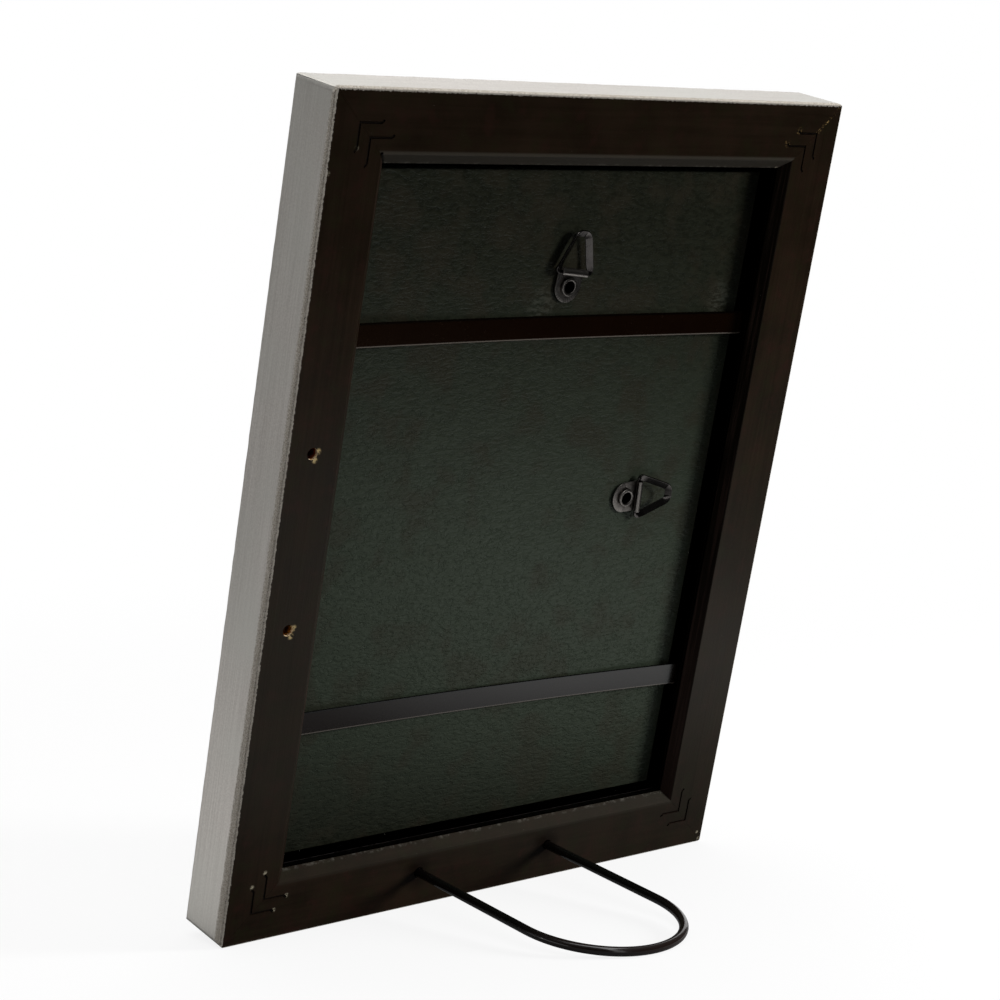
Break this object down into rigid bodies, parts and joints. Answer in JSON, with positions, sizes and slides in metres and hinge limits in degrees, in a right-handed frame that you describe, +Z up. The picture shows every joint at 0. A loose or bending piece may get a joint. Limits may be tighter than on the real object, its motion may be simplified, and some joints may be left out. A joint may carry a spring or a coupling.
{
  "type": "picture frame",
  "caption": "Wooden picture frame with a dark backing board held by spring strips, hanger rings for a wall nail, and a bent wire stand that it leans back on.",
  "frame": {"origin": "middle of the footprint, on the surface that the frame stands on", "axes": "+Z up, -Y towards the viewer of the picture, +Y out of the back, +X to the right of someone who looks at the picture"},
  "size_m": [0.17, 0.0884, 0.2178],
  "materials": {
    "moulding": "silvered wood, painted dark brown behind",
    "nail": "dark steel",
    "board": "dark embossed hardboard",
    "glass": "clear",
    "insert": "plain card",
    "strip": "satin black spring steel",
    "hanger": "dark nickel",
    "wire": "gloss black"
  },
  "bodies": {
    "frame": {"rail_top": "moulding", "rail_bottom": "moulding", "stile_left": "moulding", "stile_right": "moulding", "v_nail_bottom_left_outer": "nail", "v_nail_bottom_left_inner": "nail", "v_nail_top_left_outer": "nail", "v_nail_top_left_inner": "nail", "v_nail_top_right_outer": "nail", "v_nail_top_right_inner": "nail", "v_nail_bottom_right_outer": "nail", "v_nail_bottom_right_inner": "nail", "glass_pane": "glass", "picture_insert": "insert", "backing_board": "board", "eyelet_top": "hanger", "eyelet_side": "hanger"},
    "stand": {"wire_stand": "wire"},
    "upper_strip": {"spring_strip_upper": "strip"},
    "lower_strip": {"spring_strip_lower": "strip"},
    "top_strap": {"hanger_strap_top": "hanger"},
    "top_ring": {"hanger_ring_top": "hanger"},
    "side_strap": {"hanger_strap_side": "hanger"},
    "side_ring": {"hanger_ring_side": "hanger"}
  },
  "joints": [
    {"name": "wire_pull", "type": "slide", "parent": "frame", "child": "stand", "axis": [0, 0.9925, -0.1225], "range_m": [0, 0.012]},
    {"name": "upper_strip_slide", "type": "slide", "parent": "frame", "child": "upper_strip", "axis": [0, 0.2256, 0.9742], "range_m": [-0.025, 0.001]},
    {"name": "lower_strip_slide", "type": "slide", "parent": "frame", "child": "lower_strip", "axis": [0, 0.2256, 0.9742], "range_m": [-0.025, 0.025]},
    {"name": "top_strap_swivel", "type": "hinge", "parent": "frame", "child": "top_strap", "pos_m": [-0.00195, 0.00313, 0.16645], "axis": [0, 0.9742, -0.2256], "range_deg": [-90, 90]},
    {"name": "top_ring_flip", "type": "hinge", "parent": "top_strap", "child": "top_ring", "pos_m": [-0.00238, 0.00542, 0.1699], "axis": [-0.994, -0.0248, -0.1069], "range_deg": [-3, 170]},
    {"name": "side_strap_swivel", "type": "hinge", "parent": "frame", "child": "side_strap", "pos_m": [-0.0356, -0.01039, 0.10805], "axis": [0, 0.9742, -0.2256], "continuous": true},
    {"name": "side_ring_flip", "type": "hinge", "parent": "side_strap", "child": "side_ring", "pos_m": [-0.03949, -0.00893, 0.10794], "axis": [-0.0593, -0.2252, -0.9725], "range_deg": [-9, 165]}
  ]
}
